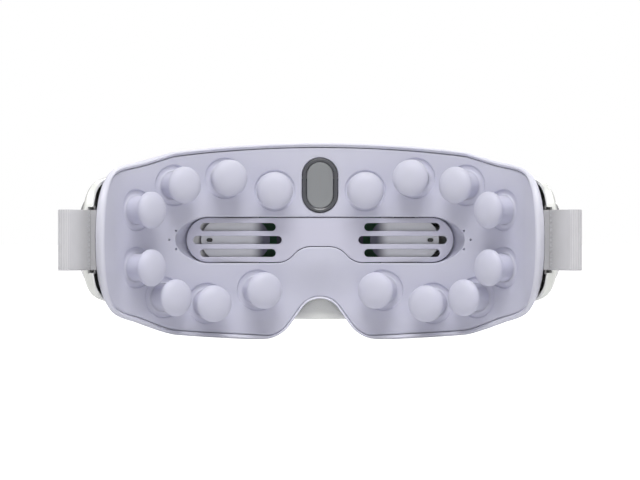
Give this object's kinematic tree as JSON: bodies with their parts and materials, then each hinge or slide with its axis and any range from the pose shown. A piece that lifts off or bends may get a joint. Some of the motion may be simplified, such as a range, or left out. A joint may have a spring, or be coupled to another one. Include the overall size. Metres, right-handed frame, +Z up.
{
  "type": "eye massager mask",
  "caption": "Curved eye massager mask with a glossy front cover, a soft dished pad with mushroom massage nodes, slotted eye panel, side buttons and strap ends.",
  "frame": {"origin": "rear face of the eye panel, midway between the eyes", "axes": "+Z up as worn, +Y towards the wearer's face, +X towards the wearer's left; the glossy front cover faces -Y"},
  "size_m": [0.2178, 0.111, 0.086],
  "materials": {
    "cover_gloss_white": "gloss",
    "frame_lilac": "satin",
    "panel_lilac": "satin",
    "silicone_lilac": "matte silicone",
    "inner_dark_grey": "matte",
    "screw_steel": "satin",
    "ring_dark_grey": "satin",
    "plate_grey": "satin",
    "heater_film": "satin",
    "board_green": "satin",
    "battery_foil": "satin",
    "pump_black": "matte",
    "motor_steel": "satin",
    "hose_clear": "satin",
    "lens_white": "satin",
    "sensor_dark": "gloss",
    "airbag_film": "satin",
    "ring_chrome": "polished",
    "button_gloss_white": "gloss",
    "strap_fabric": "woven elastic",
    "weight_brass": "satin"
  },
  "bodies": {
    "mask": {"front_cover": "cover_gloss_white", "rear_frame": "frame_lilac", "face_pad": "silicone_lilac", "inner_carrier": "inner_dark_grey", "housing_screws": "screw_steel", "eye_panel": "panel_lilac", "forehead_ring": "ring_dark_grey", "forehead_plate": "plate_grey", "forehead_heater": "heater_film", "main_board": "board_green", "battery": "battery_foil", "pump_body": "pump_black", "pump_motor": "motor_steel", "air_valve": "pump_black", "air_hose": "hose_clear", "charge_port": "screw_steel", "left_eye_lens": "lens_white", "left_eye_sensor": "sensor_dark", "left_airbag": "airbag_film", "left_button_ring": "ring_chrome", "left_switch": "pump_black", "left_strap_bar": "screw_steel", "left_strap_tab": "strap_fabric", "left_speaker": "pump_black", "left_vibration_motor": "motor_steel", "right_eye_lens": "lens_white", "right_eye_sensor": "sensor_dark", "right_airbag": "airbag_film", "right_button_ring": "ring_chrome", "right_switch": "pump_black", "right_strap_bar": "screw_steel", "right_strap_tab": "strap_fabric", "right_speaker": "pump_black", "right_vibration_motor": "motor_steel"},
    "left_node_top_inner": {"left_node_top_inner": "silicone_lilac"},
    "left_node_top_mid": {"left_node_top_mid": "silicone_lilac"},
    "left_node_top_outer": {"left_node_top_outer": "silicone_lilac"},
    "left_node_side_upper": {"left_node_side_upper": "silicone_lilac"},
    "left_node_side_lower": {"left_node_side_lower": "silicone_lilac"},
    "left_node_bottom_outer": {"left_node_bottom_outer": "silicone_lilac"},
    "left_node_bottom_mid": {"left_node_bottom_mid": "silicone_lilac"},
    "left_node_bottom_inner": {"left_node_bottom_inner": "silicone_lilac"},
    "left_button": {"left_button": "button_gloss_white"},
    "left_strap": {"left_strap": "strap_fabric"},
    "left_motor_weight": {"left_motor_weight": "weight_brass"},
    "right_node_top_inner": {"right_node_top_inner": "silicone_lilac"},
    "right_node_top_mid": {"right_node_top_mid": "silicone_lilac"},
    "right_node_top_outer": {"right_node_top_outer": "silicone_lilac"},
    "right_node_side_upper": {"right_node_side_upper": "silicone_lilac"},
    "right_node_side_lower": {"right_node_side_lower": "silicone_lilac"},
    "right_node_bottom_outer": {"right_node_bottom_outer": "silicone_lilac"},
    "right_node_bottom_mid": {"right_node_bottom_mid": "silicone_lilac"},
    "right_node_bottom_inner": {"right_node_bottom_inner": "silicone_lilac"},
    "right_button": {"right_button": "button_gloss_white"},
    "right_strap": {"right_strap": "strap_fabric"},
    "right_motor_weight": {"right_motor_weight": "weight_brass"}
  },
  "joints": [
    {"name": "left_node_top_inner_press", "type": "slide", "parent": "mask", "child": "left_node_top_inner", "axis": [0, 1, 0], "range_m": [0, 0.0022], "stiffness_N_per_m": 250, "springref_m": -0.0006},
    {"name": "left_node_top_mid_press", "type": "slide", "parent": "mask", "child": "left_node_top_mid", "axis": [-0.2419, 0.9703, 0], "range_m": [0, 0.0022], "stiffness_N_per_m": 250, "springref_m": -0.0006},
    {"name": "left_node_top_outer_press", "type": "slide", "parent": "mask", "child": "left_node_top_outer", "axis": [-0.5299, 0.848, 0], "range_m": [0, 0.0022], "stiffness_N_per_m": 250, "springref_m": -0.0006},
    {"name": "left_node_side_upper_press", "type": "slide", "parent": "mask", "child": "left_node_side_upper", "axis": [-0.7314, 0.682, 0], "range_m": [0, 0.0022], "stiffness_N_per_m": 250, "springref_m": -0.0006},
    {"name": "left_node_side_lower_press", "type": "slide", "parent": "mask", "child": "left_node_side_lower", "axis": [-0.7314, 0.682, 0], "range_m": [0, 0.0022], "stiffness_N_per_m": 250, "springref_m": -0.0006},
    {"name": "left_node_bottom_outer_press", "type": "slide", "parent": "mask", "child": "left_node_bottom_outer", "axis": [-0.6157, 0.788, 0], "range_m": [0, 0.0022], "stiffness_N_per_m": 250, "springref_m": -0.0006},
    {"name": "left_node_bottom_mid_press", "type": "slide", "parent": "mask", "child": "left_node_bottom_mid", "axis": [-0.3584, 0.9336, 0], "range_m": [0, 0.0022], "stiffness_N_per_m": 250, "springref_m": -0.0006},
    {"name": "left_node_bottom_inner_press", "type": "slide", "parent": "mask", "child": "left_node_bottom_inner", "axis": [-0.342, 0.9397, 0], "range_m": [0, 0.0022], "stiffness_N_per_m": 250, "springref_m": -0.0006},
    {"name": "left_button_press", "type": "slide", "parent": "mask", "child": "left_button", "axis": [-0.9781, 0.2079, 0], "range_m": [0, 0.0008], "stiffness_N_per_m": 500, "springref_m": -0.0012},
    {"name": "left_strap_bend", "type": "hinge", "parent": "mask", "child": "left_strap", "pos_m": [0.09735, 0.0616, 0], "axis": [0, 0, 1], "range_deg": [-12, 60]},
    {"name": "left_motor_weight_spin", "type": "hinge", "parent": "mask", "child": "left_motor_weight", "pos_m": [0.07052, -0.00172, 0.017], "axis": [0.8941, 0.4479, 0], "continuous": true},
    {"name": "right_node_top_inner_press", "type": "slide", "parent": "mask", "child": "right_node_top_inner", "axis": [0, 1, 0], "range_m": [0, 0.0022], "stiffness_N_per_m": 250, "springref_m": -0.0006},
    {"name": "right_node_top_mid_press", "type": "slide", "parent": "mask", "child": "right_node_top_mid", "axis": [0.2419, 0.9703, 0], "range_m": [0, 0.0022], "stiffness_N_per_m": 250, "springref_m": -0.0006},
    {"name": "right_node_top_outer_press", "type": "slide", "parent": "mask", "child": "right_node_top_outer", "axis": [0.5299, 0.848, 0], "range_m": [0, 0.0022], "stiffness_N_per_m": 250, "springref_m": -0.0006},
    {"name": "right_node_side_upper_press", "type": "slide", "parent": "mask", "child": "right_node_side_upper", "axis": [0.7314, 0.682, 0], "range_m": [0, 0.0022], "stiffness_N_per_m": 250, "springref_m": -0.0006},
    {"name": "right_node_side_lower_press", "type": "slide", "parent": "mask", "child": "right_node_side_lower", "axis": [0.7314, 0.682, 0], "range_m": [0, 0.0022], "stiffness_N_per_m": 250, "springref_m": -0.0006},
    {"name": "right_node_bottom_outer_press", "type": "slide", "parent": "mask", "child": "right_node_bottom_outer", "axis": [0.6157, 0.788, 0], "range_m": [0, 0.0022], "stiffness_N_per_m": 250, "springref_m": -0.0006},
    {"name": "right_node_bottom_mid_press", "type": "slide", "parent": "mask", "child": "right_node_bottom_mid", "axis": [0.3584, 0.9336, 0], "range_m": [0, 0.0022], "stiffness_N_per_m": 250, "springref_m": -0.0006},
    {"name": "right_node_bottom_inner_press", "type": "slide", "parent": "mask", "child": "right_node_bottom_inner", "axis": [0.342, 0.9397, 0], "range_m": [0, 0.0022], "stiffness_N_per_m": 250, "springref_m": -0.0006},
    {"name": "right_button_press", "type": "slide", "parent": "mask", "child": "right_button", "axis": [0.9781, 0.2079, 0], "range_m": [0, 0.0008], "stiffness_N_per_m": 500, "springref_m": -0.0012},
    {"name": "right_strap_bend", "type": "hinge", "parent": "mask", "child": "right_strap", "pos_m": [-0.09735, 0.0616, 0], "axis": [0, 0, -1], "range_deg": [-12, 60]},
    {"name": "right_motor_weight_spin", "type": "hinge", "parent": "mask", "child": "right_motor_weight", "pos_m": [-0.07052, -0.00172, 0.017], "axis": [0.8941, -0.4479, 0], "continuous": true}
  ],
  "couplings": [
    {"joint": "left_node_top_mid_press", "follows": "left_node_top_inner_press", "ratio": 1},
    {"joint": "left_node_top_outer_press", "follows": "left_node_top_inner_press", "ratio": 1},
    {"joint": "left_node_side_upper_press", "follows": "left_node_top_inner_press", "ratio": 1},
    {"joint": "left_node_side_lower_press", "follows": "left_node_top_inner_press", "ratio": 1},
    {"joint": "left_node_bottom_outer_press", "follows": "left_node_top_inner_press", "ratio": 1},
    {"joint": "left_node_bottom_mid_press", "follows": "left_node_top_inner_press", "ratio": 1},
    {"joint": "left_node_bottom_inner_press", "follows": "left_node_top_inner_press", "ratio": 1},
    {"joint": "right_node_top_mid_press", "follows": "right_node_top_inner_press", "ratio": 1},
    {"joint": "right_node_top_outer_press", "follows": "right_node_top_inner_press", "ratio": 1},
    {"joint": "right_node_side_upper_press", "follows": "right_node_top_inner_press", "ratio": 1},
    {"joint": "right_node_side_lower_press", "follows": "right_node_top_inner_press", "ratio": 1},
    {"joint": "right_node_bottom_outer_press", "follows": "right_node_top_inner_press", "ratio": 1},
    {"joint": "right_node_bottom_mid_press", "follows": "right_node_top_inner_press", "ratio": 1},
    {"joint": "right_node_bottom_inner_press", "follows": "right_node_top_inner_press", "ratio": 1}
  ]
}
